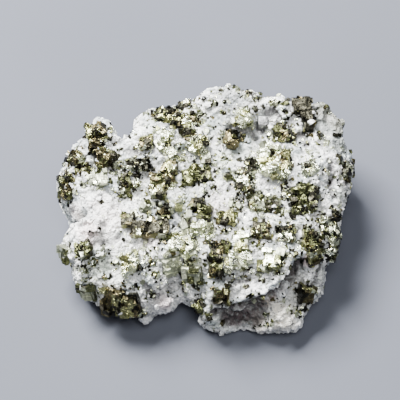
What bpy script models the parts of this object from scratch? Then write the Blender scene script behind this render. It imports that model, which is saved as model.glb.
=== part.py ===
"""Fluorite with pyrite: a rough lump of white fluorite with brassy pyrite crystals set in it.

Metres, +Z up. X runs along the long side of the lump, and +Y from its front to its back.
The origin is under the middle of the lump, on the surface that it rests on.
"""

import math
import random

import bmesh
import bpy
import numpy as np
from mathutils import Matrix, Vector, noise
from mathutils.bvhtree import BVHTree

MM = 0.001

# Line of sight
# Places on the lump are read from a photograph taken from above its front. A place is a
# pixel there, and it lies where the line of sight through that pixel meets the lump.
SIGHT_ELEVATION = math.radians(60)
SIGHT_DISTANCE = 420 * MM
PIXEL = MM / 3.75
AIM_PIXEL = (200, 200)
AIM_POINT = Vector((-1.86, 1.52, 15.0)) * MM

SIDE_DISTANCE = 100 * MM

# The lump
PRISM_HEIGHT = 24 * MM
COARSE_VOXEL = 1.0 * MM
FINE_VOXEL = 0.8 * MM
TOP_LEVEL = 21.5
TOP_SLOPE = 0.12
RIM_HALF_THICKNESS = 1.2
LUMP_FACES = 1900

# Its rim, clockwise from the left as seen from the front: pixel x, pixel y, height in mm
RIM = (
    (55, 193, 11), (58, 181, 12), (62, 170, 13), (66, 159, 14), (69, 150, 15), (76, 145, 16),
    (83, 136, 17), (88, 126, 18), (98, 121, 18), (107, 123, 19), (116, 130, 19), (125, 136, 20),
    (131, 134, 20), (134, 124, 20), (141, 115, 21), (150, 109, 21), (163, 106, 21), (178, 105, 21),
    (191, 101, 21), (201, 95, 21), (210, 90, 22), (224, 88, 22), (240, 88, 22), (252, 91, 22),
    (264, 95, 22), (279, 94, 22), (288, 100, 22), (298, 101, 21), (311, 102, 21), (323, 101, 20),
    (332, 110, 20), (336, 124, 19), (341, 138, 18), (349, 148, 17), (352, 162, 16), (355, 175, 15),
    (351, 190, 14), (346, 204, 13), (342, 220, 12), (341, 236, 10), (337, 254, 9), (329, 267, 8),
    (328, 282, 7), (326, 294, 7), (317, 302, 6), (308, 315, 5), (304, 326, 5), (295, 332, 4),
    (280, 334, 4), (262, 335, 4), (252, 331, 4), (242, 327, 3), (228, 332, 3), (214, 329, 4),
    (200, 326, 5), (195, 312, 6), (187, 303, 7), (177, 300, 7), (173, 307, 6), (160, 315, 6),
    (153, 321, 5), (145, 324, 5), (131, 319, 5), (113, 311, 6), (100, 304, 6), (87, 299, 6),
    (76, 293, 7), (73, 278, 8), (69, 265, 8), (60, 252, 8), (65, 241, 9), (71, 230, 9),
    (66, 218, 10), (60, 208, 10),
)

# The top slab breaks off along its front right edge, and a lower shelf stands before it:
# pixel x, pixel y, height of the edge in mm, height of the shelf at its foot in mm
SLAB_EDGE = (
    (214, 345, 6, 3), (219, 318, 8, 3.5), (229, 311, 10.5, 3.5), (243, 305, 12, 4),
    (256, 302, 13.5, 5.5), (264, 298, 14.5, 9.5), (276, 294, 15, 10.5), (284, 290, 15, 10.5),
    (289, 282, 15.5, 11), (292, 273, 16, 12), (299, 265, 16, 13), (312, 264, 15.5, 13),
    (345, 258, 13, 11),
)
BREAK_WIDTH = 1.2

# Swells and dips in the top: pixel x, pixel y, reach in mm, rise in mm
SWELLS = (
    (95, 212, 9, 1.2), (222, 188, 7, 1.4), (186, 140, 6, 0.8), (258, 140, 5, -1.6),
    (285, 115, 4, 1.4), (325, 160, 8, 0.8), (180, 262, 8, 1.0), (300, 196, 7, 1.0),
    (112, 250, 6, -1.4), (142, 190, 6, -1.0), (262, 190, 7, -0.8), (150, 118, 7, 0.8),
    (232, 105, 8, 1.2), (240, 285, 6, -0.8), (96, 140, 6, 1.5), (128, 142, 5, -1.6),
    (84, 172, 4, -0.8), (206, 252, 5, 1.0), (284, 322, 7, 1.0), (312, 280, 5, 1.2),
)

# Cracks: the pixels that each runs through, its height, half width and depth in mm
CRACKS = (
    (((62, 226), (72, 225), (80, 224)), 12, 0.8, 2.6),
    (((260, 128), (266, 119), (271, 113), (275, 117), (280, 126)), 23, 0.8, 1.8),
    (((293, 279), (296, 272)), 14, 1.1, 3.0),
    (((312, 263), (320, 267)), 13, 1.0, 2.0),
    (((172, 300), (180, 292)), 9, 1.4, 2.0),
)

# Blocky fluorite crystals on the lump: pixel x, pixel y, size in mm
FLUORITE_BLOCKS = (
    (181, 147, 5.0), (283, 116, 4.4), (270, 123, 3.6), (318, 112, 4.6), (99, 252, 3.8),
    (163, 306, 4.6), (282, 318, 4.8), (312, 276, 4.6), (94, 226, 4.4), (208, 100, 4.4),
    (336, 128, 4.2),
)

# Pyrite
CRYSTAL_GAP = 0.3 * MM
SINK = 0.18
SMALLEST_PAIR = 4.3
LEVEL = Vector((1, 0, 0.001))

# How far round a place its slope is taken: pixels, or degrees and mm
PIXEL_SPREAD = (5, 5)
SIDE_SPREAD = (2, 1.3)

# Each cluster grows from the lump at one or more places: pixel x, pixel y, width and
# depth in mm. Its habit says which crystals it has.
CLUSTERS = (
    ("pyrite_left_crest", "grains", ((96, 131, 5.6, 4.4), (97, 146, 4.8, 4.4), (102, 159, 4.8, 5.0))),
    ("pyrite_left_shoulder", "grains", ((77, 159, 4.4, 4.4), (72, 157, 3.6, 4.0))),
    ("pyrite_left_edge", "grains", ((65, 180, 4.0, 4.0), (66, 191, 4.2, 4.8))),
    ("pyrite_black_bar", "block", ((132, 165, 4.0, 3.0), (144, 164, 3.4, 3.0))),
    ("pyrite_pale_pair", "block", ((93, 180, 2.8, 2.6), (102, 180, 3.2, 3.4))),
    ("pyrite_notch", "grains", ((146, 143, 4.4, 4.2),)),
    ("pyrite_back_group", "grains", (
        (164, 115, 5.0, 4.4), (178, 121, 5.2, 5.0), (191, 122, 4.4, 3.8), (186, 131, 4.4, 3.0))),
    ("pyrite_back_bar", "block", ((185, 105, 4.0, 2.4),)),
    ("pyrite_mirror", "mirror", ((244, 118, 3.8, 4.8),)),
    ("pyrite_saddle", "grains", ((168, 136, 3.4, 3.0), (167, 146, 4.4, 4.2))),
    ("pyrite_cream_blade", "mirror", ((199, 146, 3.6, 4.2),)),
    ("pyrite_grey_cube", "block", ((205, 160, 2.8, 2.8),)),
    ("pyrite_brown_knob", "round", ((231, 139, 4.8, 6.4),)),
    ("pyrite_middle_left", "grains", (
        (170, 168, 4.6, 3.8), (168, 178, 4.6, 4.0), (157, 181, 4.4, 4.8), (159, 192, 4.2, 4.4))),
    ("pyrite_ring", "block", ((188, 178, 3.6, 4.6), (197, 171, 4.4, 3.2), (205, 175, 3.4, 4.2))),
    ("pyrite_ball", "round", ((228, 176, 2.8, 3.0),)),
    ("pyrite_sparkling_group", "grains", (
        (250, 165, 3.2, 4.6), (245, 173, 3.8, 4.2), (243, 184, 4.2, 4.6))),
    ("pyrite_bright_mass", "mirror", (
        (268, 153, 4.2, 4.8), (278, 158, 4.2, 4.8), (270, 168, 5.0, 5.0), (282, 171, 3.2, 4.8))),
    ("pyrite_brown_group", "grains", ((280, 130, 3.8, 4.2), (288, 137, 4.0, 4.0))),
    ("pyrite_bronze_crystal", "block", (
        (302, 106, 5.4, 4.6), (308, 117, 3.6, 3.8), (308, 127, 3.0, 3.4))),
    ("pyrite_silver_ball", "round", ((310, 169, 3.6, 4.0),)),
    ("pyrite_right_edge", "block", ((346, 173, 2.4, 4.4),)),
    ("pyrite_olive_wedge", "block", ((125, 178, 3.2, 2.8), (125, 188, 3.6, 4.2))),
    ("pyrite_grey_knob", "round", ((146, 205, 3.2, 3.2),)),
    ("pyrite_striped_group", "plates", ((128, 221, 3.8, 4.2), (142, 230, 5.2, 4.6), (159, 230, 5.6, 5.2))),
    ("pyrite_black_cube", "block", ((163, 212, 3.2, 3.2),)),
    ("pyrite_grey_pebble", "round", ((179, 205, 3.2, 3.0),)),
    ("pyrite_grey_corner", "block", ((186, 220, 2.4, 3.0),)),
    ("pyrite_olive_group", "grains", ((198, 204, 4.2, 4.0), (205, 212, 4.4, 4.2))),
    ("pyrite_lens", "block", ((227, 219, 4.8, 3.6),)),
    ("pyrite_white_ledge", "mirror", ((203, 229, 4.8, 3.2),)),
    ("pyrite_gold_seam", "grains", ((224, 246, 3.4, 4.0), (216, 255, 4.0, 4.8), (215, 268, 3.6, 4.4))),
    ("pyrite_cream_field", "mirror", ((180, 241, 4.8, 4.4), (190, 247, 4.2, 4.0))),
    ("pyrite_pale_cube", "block", ((242, 243, 3.8, 4.2),)),
    ("pyrite_green_corner", "block", ((67, 253, 4.2, 4.0),)),
    ("pyrite_brown_cube", "block", ((85, 251, 4.8, 4.6),)),
    ("pyrite_ledged_cube", "plates", ((261, 232, 4.8, 4.8),)),
    ("pyrite_sparkling_pair", "grains", ((289, 234, 4.6, 5.0),)),
    ("pyrite_dull_field", "round", ((257, 205, 5.2, 5.0), (272, 207, 5.2, 4.6))),
    ("pyrite_green_mass", "grains", (
        (299, 194, 4.8, 5.0), (311, 193, 4.6, 5.0), (310, 204, 4.4, 4.2), (299, 207, 4.8, 4.6))),
    ("pyrite_right_group", "grains", (
        (325, 224, 4.0, 4.0), (332, 230, 4.2, 4.6), (334, 240, 4.2, 4.8), (332, 252, 4.2, 4.6))),
    ("pyrite_brown_block", "block", ((309, 238, 3.4, 5.0), (313, 252, 5.0, 5.4))),
    ("pyrite_green_plate", "block", ((88, 291, 4.4, 4.2),)),
    ("pyrite_front_facet", "mirror", ((131, 262, 4.6, 5.0),)),
    ("pyrite_front_cube", "block", ((115, 301, 5.4, 7.0), (131, 306, 5.6, 6.0))),
    ("pyrite_smooth_cube", "block", ((171, 265, 4.8, 4.2),)),
    ("pyrite_front_dome", "block", ((193, 274, 4.8, 4.6),)),
    ("pyrite_striped_bar", "plates", ((237, 263, 5.8, 4.2),)),
    ("pyrite_striped_cube", "plates", ((221, 295, 4.4, 4.8),)),
    ("pyrite_front_seam", "grains", ((199, 307, 3.8, 3.8),)),
    ("pyrite_yellow_crystal", "block", ((264, 266, 4.0, 3.4), (273, 261, 4.6, 5.2))),
    ("pyrite_shelf_cube", "block", ((306, 293, 4.4, 5.0),)),
)

# Clusters on the sides that the photograph doesn't show: degrees round from the right-hand
# side by way of the back, height, width and depth in mm
SIDE_CLUSTERS = (
    ("pyrite_back_wall_right", "grains", ((62, 13, 5.0, 5.0),)),
    ("pyrite_back_wall_middle", "block", ((88, 11, 5.4, 5.0),)),
    ("pyrite_back_wall_left", "grains", ((112, 14, 5.4, 5.4),)),
    ("pyrite_back_foot", "mirror", ((100, 7, 4.4, 4.0),)),
    ("pyrite_right_side", "plates", ((22, 9, 5.4, 5.0),)),
    ("pyrite_left_side", "block", ((158, 9, 4.8, 4.4),)),
)


def sight_line(pixel_x, pixel_y):
    """Where the line of sight through a pixel starts, and its direction."""
    ahead = Vector((0, math.cos(SIGHT_ELEVATION), -math.sin(SIGHT_ELEVATION)))
    up = Vector((0, math.sin(SIGHT_ELEVATION), math.cos(SIGHT_ELEVATION)))
    eye = AIM_POINT - ahead * SIGHT_DISTANCE
    across = Vector((1, 0, 0)) * (pixel_x - AIM_PIXEL[0]) * PIXEL
    target = AIM_POINT + across - up * (pixel_y - AIM_PIXEL[1]) * PIXEL
    return eye, (target - eye).normalized()


def side_line(degrees, height):
    """A level line from beyond a side of the lump to its middle, and its direction."""
    outward = Vector((math.cos(math.radians(degrees)), math.sin(math.radians(degrees)), 0))
    return outward * SIDE_DISTANCE + Vector((0, 0, height * MM)), -outward


def at_height(pixel_x, pixel_y, height):
    """The point of a sight line at this height in mm, as x and y in mm."""
    eye, ahead = sight_line(pixel_x, pixel_y)
    point = eye + ahead * ((height * MM - eye.z) / ahead.z)
    return point.x / MM, point.y / MM


def nearest_on_path(points, path, closed=False):
    """For each point: its distance to the path, the path's values there, and its side of it."""
    start = np.array(path, float)
    end = np.roll(start, -1, axis=0)
    if not closed:
        start, end = start[:-1], end[:-1]
    along = end[:, :2] - start[:, :2]
    offset = points[:, None, :] - start[None, :, :2]
    share = (offset * along).sum(2) / (along**2).sum(1)
    share = np.clip(share, 0, 1)
    gap = offset - share[:, :, None] * along
    distance = np.hypot(gap[:, :, 0], gap[:, :, 1])
    best = distance.argmin(1)
    row = np.arange(len(points))
    values = start[best, 2:] + share[row, best, None] * (end - start)[best, 2:]
    side = along[best, 0] * offset[row, best, 1] - along[best, 1] * offset[row, best, 0]
    return distance[row, best], values, np.sign(side)


def quarter_round(share):
    """Rises from 0 to 1 as a quarter circle does."""
    return np.sqrt(1 - (1 - np.clip(share, 0, 1)) ** 2)


def smooth_step(share):
    share = np.clip(share, 0, 1)
    return share * share * (3 - 2 * share)


def top_height(points):
    """Height of the lump's top surface in mm at each x, y in mm, before its rim rounds it off."""
    height = TOP_LEVEL + TOP_SLOPE * points[:, 1]
    for pixel_x, pixel_y, reach, rise in SWELLS:
        centre = np.array(at_height(pixel_x, pixel_y, TOP_LEVEL))
        height += rise * np.exp(-((points - centre) ** 2).sum(1) / reach**2)
    edge = [(*at_height(x, y, top), foot) for x, y, top, foot in SLAB_EDGE]
    distance, foot, side = nearest_on_path(points, edge)
    before = smooth_step(np.where(side < 0, distance, 0) / BREAK_WIDTH)
    return height * (1 - before) + foot[:, 0] * before


def crack_depth(points):
    depth = np.zeros(len(points))
    for pixels, height, half_width, deepest in CRACKS:
        path = [at_height(x, y, height) for x, y in pixels]
        distance, _, _ = nearest_on_path(points, path)
        depth = np.maximum(depth, deepest * np.exp(-((distance / half_width) ** 2)))
    return depth


def new_object(name, mesh, collection):
    obj = bpy.data.objects.new(name, mesh)
    collection.objects.link(obj)
    return obj


def evaluated_mesh(obj):
    """The object's mesh with its modifiers applied. The object itself is removed."""
    bpy.context.view_layer.update()
    graph = bpy.context.evaluated_depsgraph_get()
    mesh = bpy.data.meshes.new_from_object(obj.evaluated_get(graph))
    bpy.data.objects.remove(obj)
    return mesh


def voxel_remeshed(mesh, size):
    obj = new_object("remesh", mesh, workshop)
    remesh = obj.modifiers.new("voxels", "REMESH")
    remesh.mode = "VOXEL"
    remesh.voxel_size = size
    return evaluated_mesh(obj)


def coordinates(mesh):
    flat = np.empty(len(mesh.vertices) * 3, np.float32)
    mesh.vertices.foreach_get("co", flat)
    return flat.reshape(-1, 3).astype(float) / MM


def set_coordinates(mesh, points):
    mesh.vertices.foreach_set("co", (points * MM).astype(np.float32).ravel())
    mesh.update()


def rim_prism():
    """The lump's plan as an upright prism."""
    curve = bpy.data.curves.new("plan", "CURVE")
    curve.dimensions = "2D"
    curve.fill_mode = "BOTH"
    curve.extrude = PRISM_HEIGHT / 2
    spline = curve.splines.new("POLY")
    spline.points.add(len(RIM) - 1)
    for point, (pixel_x, pixel_y, height) in zip(spline.points, RIM):
        x, y = at_height(pixel_x, pixel_y, height)
        point.co = (x * MM, y * MM, 0, 1)
    spline.use_cyclic_u = True
    obj = new_object("plan", curve, workshop)
    mesh = evaluated_mesh(obj)
    mesh.transform(Matrix.Translation((0, 0, PRISM_HEIGHT / 2)))
    return mesh


def round_off(mesh):
    """Turns the prism into the lump: a broad top, a rounded rim and a tucked-in underside."""
    points = coordinates(mesh)
    plan = points[:, :2]
    rim_path = [(*at_height(x, y, height), height) for x, y, height in RIM]
    inward, rim, _ = nearest_on_path(plan, rim_path, closed=True)
    rim = rim[:, 0]
    top_reach = 4.5 + 0.5 * (22 - rim)
    under_reach = 6 + 0.2 * rim
    top_edge = rim + RIM_HALF_THICKNESS
    under_edge = rim - RIM_HALF_THICKNESS
    top = top_height(plan)
    top = top_edge + (top - top_edge) * quarter_round(inward / top_reach)
    under = under_edge * (1 - quarter_round(inward / under_reach))
    share = points[:, 2] * MM / PRISM_HEIGHT
    points[:, 2] = under + share * (top - under)
    set_coordinates(mesh, points)


def roughen(mesh):
    """Broken, blocky relief all over, except on the flat that the lump rests on."""
    points = coordinates(mesh)
    normals = np.array([v.normal for v in mesh.vertices], float).reshape(-1, 3)
    offset = np.empty(len(points))
    for i, point in enumerate(points):
        place = Vector(point)
        swell = noise.fractal(place / 11, 0.9, 2.1, 3)
        distances, _ = noise.voronoi(place / 6.5)
        blocks = distances[1] - distances[0]
        offset[i] = 0.9 * swell + 0.9 * min(blocks, 0.5) - 0.75
    offset -= crack_depth(points[:, :2]) * (normals[:, 2] > 0.1)
    offset *= smooth_step(points[:, 2] / 3)
    points += normals * offset[:, None]
    points[:, 2] = np.maximum(points[:, 2], 0)
    set_coordinates(mesh, points)


def reduced(mesh, faces):
    mesh.calc_loop_triangles()
    obj = new_object("reduce", mesh, workshop)
    reduction = obj.modifiers.new("facets", "DECIMATE")
    reduction.ratio = faces / len(mesh.loop_triangles)
    reduction.use_collapse_triangulate = True
    return evaluated_mesh(obj)


def boolean(mesh, other, operation):
    """The mesh joined with the other, or cut by it."""
    tool = new_object("tool", other, workshop)
    obj = new_object("worked", mesh, workshop)
    modifier = obj.modifiers.new(operation, "BOOLEAN")
    modifier.operation = operation
    modifier.object = tool
    result = evaluated_mesh(obj)
    bpy.data.objects.remove(tool)
    return result


def largest_island(mesh):
    """Drops the crumbs that cutting leaves, and keeps the main body."""
    work = bmesh.new()
    work.from_mesh(mesh)
    bmesh.ops.triangulate(work, faces=work.faces)
    bmesh.ops.remove_doubles(work, verts=work.verts, dist=0.004 * MM)
    bmesh.ops.dissolve_degenerate(work, edges=work.edges, dist=0.004 * MM)
    unseen = set(work.verts)
    islands = []
    while unseen:
        island = {unseen.pop()}
        front = list(island)
        while front:
            vertex = front.pop()
            for edge in vertex.link_edges:
                other = edge.other_vert(vertex)
                if other in unseen:
                    unseen.discard(other)
                    island.add(other)
                    front.append(other)
        islands.append(island)
    keep = max(islands, key=len)
    crumbs = [v for v in work.verts if v not in keep]
    bmesh.ops.delete(work, geom=crumbs, context="VERTS")
    bmesh.ops.triangulate(work, faces=work.faces)
    work.to_mesh(mesh)
    work.free()
    return mesh


def cube_mesh(sides, matrix):
    """A box with these side lengths in metres, turned and placed by the matrix."""
    mesh = bpy.data.meshes.new("cube")
    work = bmesh.new()
    bmesh.ops.create_cube(work, size=1, matrix=matrix @ Matrix.Diagonal((*sides, 1)))
    work.to_mesh(mesh)
    work.free()
    return mesh


def pyritohedron_mesh(sides, matrix):
    """Twelve five-sided faces, pyrite's own form, as the hull of its twenty corners."""
    squash = 0.5
    near, far = 1 - squash**2, 1 + squash
    corners = [(x, y, z) for x in (-1, 1) for y in (-1, 1) for z in (-1, 1)]
    for a in (-near, near):
        for b in (-far, far):
            corners += [(0, a, b), (a, b, 0), (b, 0, a)]
    mesh = bpy.data.meshes.new("pyritohedron")
    work = bmesh.new()
    scale = Matrix.Diagonal((*(side / (2 * far) for side in sides), 1))
    for corner in corners:
        work.verts.new(matrix @ scale @ Vector(corner))
    bmesh.ops.convex_hull(work, input=work.verts)
    bmesh.ops.recalc_face_normals(work, faces=work.faces)
    work.to_mesh(mesh)
    work.free()
    return mesh


def seat(tree, line, place, spread):
    """Where a line meets the lump, and the surface's mean normal there."""
    foot = tree.ray_cast(*line(*place))[0]
    steps = ((0, 0), (spread[0], 0), (-spread[0], 0), (0, spread[1]), (0, -spread[1]))
    normals = [tree.ray_cast(*line(place[0] + x, place[1] + y))[1] for x, y in steps]
    return foot, sum((n for n in normals if n), Vector()).normalized()


def turned(across, normal, tilt, spin, lean):
    """A turn whose Z stands on the surface, leaning by tilt towards lean, spun about itself."""
    stand = Matrix((across, normal.cross(across), normal)).transposed()
    tipping = Matrix.Rotation(tilt, 3, "X")
    return stand @ Matrix.Rotation(lean, 3, "Z") @ tipping @ Matrix.Rotation(spin - lean, 3, "Z")


def grains(chance, width, depth):
    """A cube at any angle, and on a larger place a smaller one grown into its side."""
    size = 0.86 * min(width, depth)
    stretch = 0.86 * (max(width, depth) - min(width, depth))
    wide, deep = (size + stretch, size) if width > depth else (size, size + stretch)
    yield (0, 0), (wide, deep, size), "cube", math.radians(35)
    if min(width, depth) > SMALLEST_PAIR:
        small = 0.62 * size
        angle = chance.uniform(0, math.tau)
        place = (0.5 * size * math.cos(angle), 0.5 * size * math.sin(angle))
        yield place, (small, small, small * 1.3), "cube", math.radians(45)


def block(chance, width, depth):
    """One crystal with broad faces."""
    height = min(width, depth) * chance.uniform(0.9, 1.1)
    yield (0, 0), (width * 0.94, depth * 0.94, height), "cube", math.radians(15)


def mirror(chance, width, depth):
    """A crystal that lies flat, so that its top catches the light, with a step on it."""
    height = 0.85 * min(width, depth)
    yield (0, 0), (width * 0.94, depth * 0.94, height), "cube", math.radians(7)
    yield (0.2 * width, -0.15 * depth), (width * 0.5, depth * 0.5, height * 1.4), "cube", math.radians(7)


def knob(chance, width, depth):
    """A pyritohedron, which looks nearly round."""
    yield (0, 0), (width, depth, min(width, depth)), "pyritohedron", math.radians(25)


def plates(chance, width, depth):
    """Thin crystals side by side, stepped like stairs."""
    count = 3
    step = 0.9 * width / count
    for i in range(count):
        place = (i - (count - 1) / 2) * step
        run = depth * chance.uniform(0.7, 0.95)
        height = min(width, depth) * chance.uniform(0.75, 1.05)
        yield (place, 0), (step * 1.3, run, height), "cube", math.radians(3)


HABITS = {"grains": grains, "block": block, "mirror": mirror, "round": knob, "plates": plates}
SHAPES = {"cube": cube_mesh, "pyritohedron": pyritohedron_mesh}


def crystals_of(name, habit, places, line, spread, tree):
    """Each crystal of a cluster: its shape, its sides in metres, and where it stands."""
    chance = random.Random(name)
    found = []
    for first, second, width, depth in places:
        foot, normal = seat(tree, line, (first, second), spread)
        across = (LEVEL - normal * normal.dot(LEVEL)).normalized()
        for (right, back), sides, shape, most_tilt in HABITS[habit](chance, width, depth):
            most_spin = math.pi if habit == "grains" and width == depth else math.radians(16)
            spin = chance.uniform(-most_spin, most_spin)
            tilt = most_tilt * chance.uniform(0.3, 1)
            turn = turned(across, normal, tilt, spin, chance.uniform(0, math.tau))
            place = foot - normal * (SINK * min(sides) * MM)
            place += (across * right + normal.cross(across) * back) * MM
            matrix = Matrix.Translation(place) @ turn.to_4x4()
            found.append((shape, [side * MM for side in sides], matrix))
    return found


def grown_mesh(crystals, gap):
    """The crystals as one solid, each a little larger on every side where a gap is given."""
    shapes = []
    for shape, sides, matrix in crystals:
        shapes.append(SHAPES[shape]([side + 2 * gap for side in sides], matrix))
    result = shapes[0]
    for other in shapes[1:]:
        result = boolean(result, other, "UNION")
    return result


def material(name, colour, roughness, metallic):
    made = bpy.data.materials.new(name)
    made.use_nodes = True
    made.diffuse_color = (*colour, 1)
    shader = made.node_tree.nodes["Principled BSDF"]
    shader.inputs["Base Color"].default_value = (*colour, 1)
    shader.inputs["Roughness"].default_value = roughness
    shader.inputs["Metallic"].default_value = metallic
    return made


def whole_lump():
    """The lump with its fluorite blocks, before the sockets are cut."""
    mesh = voxel_remeshed(rim_prism(), COARSE_VOXEL)
    round_off(mesh)
    mesh = voxel_remeshed(mesh, FINE_VOXEL)
    roughen(mesh)
    mesh = reduced(mesh, LUMP_FACES)
    tree = tree_of(mesh)
    chance = random.Random("fluorite blocks")
    for pixel_x, pixel_y, size in FLUORITE_BLOCKS:
        foot, normal = seat(tree, sight_line, (pixel_x, pixel_y), PIXEL_SPREAD)
        across = (LEVEL - normal * normal.dot(LEVEL)).normalized()
        tilt, spin, lean = (chance.uniform(5, 30), chance.uniform(0, 360), chance.uniform(0, 360))
        turn = turned(across, normal, math.radians(tilt), math.radians(spin), math.radians(lean))
        sides = [size * MM * chance.uniform(0.8, 1.1) for _ in range(3)]
        place = foot - normal * (0.3 * size * MM)
        mesh = boolean(mesh, cube_mesh(sides, Matrix.Translation(place) @ turn.to_4x4()), "UNION")
    return mesh


def tree_of(mesh):
    mesh.calc_loop_triangles()
    corners = [v.co.copy() for v in mesh.vertices]
    triangles = [tuple(t.vertices) for t in mesh.loop_triangles]
    return BVHTree.FromPolygons(corners, triangles)


def add_piece(name, mesh, finish):
    piece = new_object(name, mesh, specimen)
    mesh.materials.clear()
    mesh.materials.append(finish)


def main():
    white = material("white fluorite", (0.80, 0.80, 0.78), 0.6, 0.0)
    brass = material("pyrite", (0.46, 0.40, 0.26), 0.3, 1.0)
    lump = whole_lump()
    tree = tree_of(lump)
    seen = [(*cluster, sight_line, PIXEL_SPREAD) for cluster in CLUSTERS]
    unseen = [(*cluster, side_line, SIDE_SPREAD) for cluster in SIDE_CLUSTERS]
    for name, habit, places, line, spread in seen + unseen:
        crystals = crystals_of(name, habit, places, line, spread, tree)
        lump = boolean(lump, grown_mesh(crystals, CRYSTAL_GAP), "DIFFERENCE")
        add_piece(name, largest_island(grown_mesh(crystals, 0)), brass)
    add_piece("fluorite_lump", largest_island(lump), white)


for old in list(bpy.data.objects):
    bpy.data.objects.remove(old)
specimen = bpy.data.collections.new("fluorite with pyrite")
bpy.context.scene.collection.children.link(specimen)
workshop = bpy.data.collections.new("workshop")
bpy.context.scene.collection.children.link(workshop)
main()
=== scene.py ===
import math
import random

import bmesh
import bpy
import numpy as np
from mathutils import Matrix, Vector, noise
from mathutils.bvhtree import BVHTree
from mathutils.kdtree import KDTree


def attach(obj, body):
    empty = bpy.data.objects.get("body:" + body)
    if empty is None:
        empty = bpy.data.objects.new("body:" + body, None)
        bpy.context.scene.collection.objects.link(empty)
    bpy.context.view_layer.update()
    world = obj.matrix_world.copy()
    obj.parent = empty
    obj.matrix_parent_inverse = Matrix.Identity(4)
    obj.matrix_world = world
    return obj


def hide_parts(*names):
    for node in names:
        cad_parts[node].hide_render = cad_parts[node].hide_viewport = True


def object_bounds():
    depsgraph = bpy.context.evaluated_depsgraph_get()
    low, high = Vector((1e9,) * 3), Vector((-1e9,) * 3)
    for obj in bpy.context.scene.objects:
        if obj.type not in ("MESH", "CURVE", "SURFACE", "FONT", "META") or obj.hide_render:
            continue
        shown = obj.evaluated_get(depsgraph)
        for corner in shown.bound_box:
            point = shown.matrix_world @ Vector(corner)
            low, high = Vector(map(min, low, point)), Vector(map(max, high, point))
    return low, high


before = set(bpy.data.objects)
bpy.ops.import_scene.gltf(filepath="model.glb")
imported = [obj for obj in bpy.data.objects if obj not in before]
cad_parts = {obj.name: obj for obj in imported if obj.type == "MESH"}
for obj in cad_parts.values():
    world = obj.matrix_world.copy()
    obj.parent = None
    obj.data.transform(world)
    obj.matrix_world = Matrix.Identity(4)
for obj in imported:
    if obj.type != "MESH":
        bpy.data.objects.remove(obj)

MM = 0.001
cad_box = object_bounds()

# The fluorite lump is a slab of white, sugary fluorite, broken off all round. It is one
# grown mass: its skin covers the solid, closes round the foot of every pyrite cluster
# and carries the blocky relief, the fine grain, the coloured tints of the stone and the
# painted shade in its hollows, crevices and recesses.
BOX_LOW, BOX_HIGH = np.array(cad_box[0]), np.array(cad_box[1])
WELD_GAP = 0.002 * MM
SKIN_CELL = 0.4 * MM
SOCKET_FILL = 0.5 * MM
# Close to pyrite the skin turns down into the stone, with a ragged edge
DIVE_DEPTH = 1.5 * MM
DIVE_FROM, DIVE_TO, DIVE_RAGGED = 0.65 * MM, 0.42 * MM, 0.14 * MM
# The relief of the broken stone in mm: how wide and high its forms are, and how far
# the crack between two of them reaches. It dies out down to the floor.
CRAG_SIZE, CRAG_HEIGHT = 6.5, 1.1
CRAG_FALL, CRAG_STEP, CRAG_LAYERS = 0.8, 2.1, 4
BLOCK_SIZE, BLOCK_HEIGHT, BLOCK_CRACK = 3.1, 1.0, 0.5
BEND_SIZE, BLOCK_BEND = 2, 0.4
CRUMB_SIZE, CRUMB_HEIGHT, CRUMB_CRACK = 1.1, 0.5, 0.45
MIDDLE_HEIGHT = 0.58
FOOT_HEIGHT = 2.5 * MM
# How deep in mm a point lies below the middle of the relief when its painted shade is full
HOLLOW_DEPTH = 0.9
# How far from the pyrite its dust lies, and where neighbouring stone shelters a point, which
# is painted as shade: rays that lean outward look for it, from just off the skin
DUST_REACH, DUST_FADE = 2.8 * MM, 2.6 * MM
SHELTER_RAYS, SHELTER_LEAN, SHELTER_START = 5, 1.3, 0.3
SHELTER_REACH = 5 * MM
SHELTER_FROM, SHELTER_SPAN = 0.06, 0.45


def solid_of(objects, outward=0.0):
    """The objects' welded faces in one bmesh, each corner moved outward."""
    joined = bmesh.new()
    for obj in objects:
        one = bmesh.new()
        one.from_mesh(obj.data)
        bmesh.ops.remove_doubles(one, verts=one.verts, dist=WELD_GAP)
        one.normal_update()
        for vertex in one.verts:
            vertex.co += vertex.normal * outward
        mesh = bpy.data.meshes.new("one")
        one.to_mesh(mesh)
        one.free()
        joined.from_mesh(mesh)
        bpy.data.meshes.remove(mesh)
    return joined


def vectors_of(layer, key):
    """The vectors that a layer of a mesh holds, one to a row."""
    flat = np.empty(len(layer) * 3, np.float32)
    layer.foreach_get(key, flat)
    return flat.reshape(-1, 3).astype(float)


def points_of(mesh):
    return vectors_of(mesh.vertices, "co")


def normals_of(mesh):
    return vectors_of(mesh.vertex_normals, "vector")


def smooth_step(share):
    """0 up to 0 and 1 from 1 on, with a soft rise between them."""
    share = np.clip(share, 0, 1)
    return share * share * (3 - 2 * share)


def new_piece(name, mesh):
    piece = bpy.data.objects.new(name, mesh)
    bpy.context.scene.collection.objects.link(piece)
    return piece


def modified(work, modifier_type, **settings):
    """The mesh of a bmesh after one modifier."""
    mesh = bpy.data.meshes.new("before")
    work.to_mesh(mesh)
    work.free()
    obj = new_piece("before", mesh)
    modifier = obj.modifiers.new("change", modifier_type)
    for setting, value in settings.items():
        setattr(modifier, setting, value)
    graph = bpy.context.evaluated_depsgraph_get()
    after = bpy.data.meshes.new_from_object(obj.evaluated_get(graph))
    bpy.data.objects.remove(obj)
    bpy.data.meshes.remove(mesh)
    return after


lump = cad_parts["fluorite_lump"]
clusters = {name: node for name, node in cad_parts.items() if name != "fluorite_lump"}
cluster_names = sorted(clusters)

filled = solid_of([lump])
fillings = bpy.data.meshes.new("fillings")
solid_of(clusters.values(), SOCKET_FILL).to_mesh(fillings)
filled.from_mesh(fillings)
skin_mesh = modified(filled, "REMESH", mode="VOXEL", voxel_size=SKIN_CELL)

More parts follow.
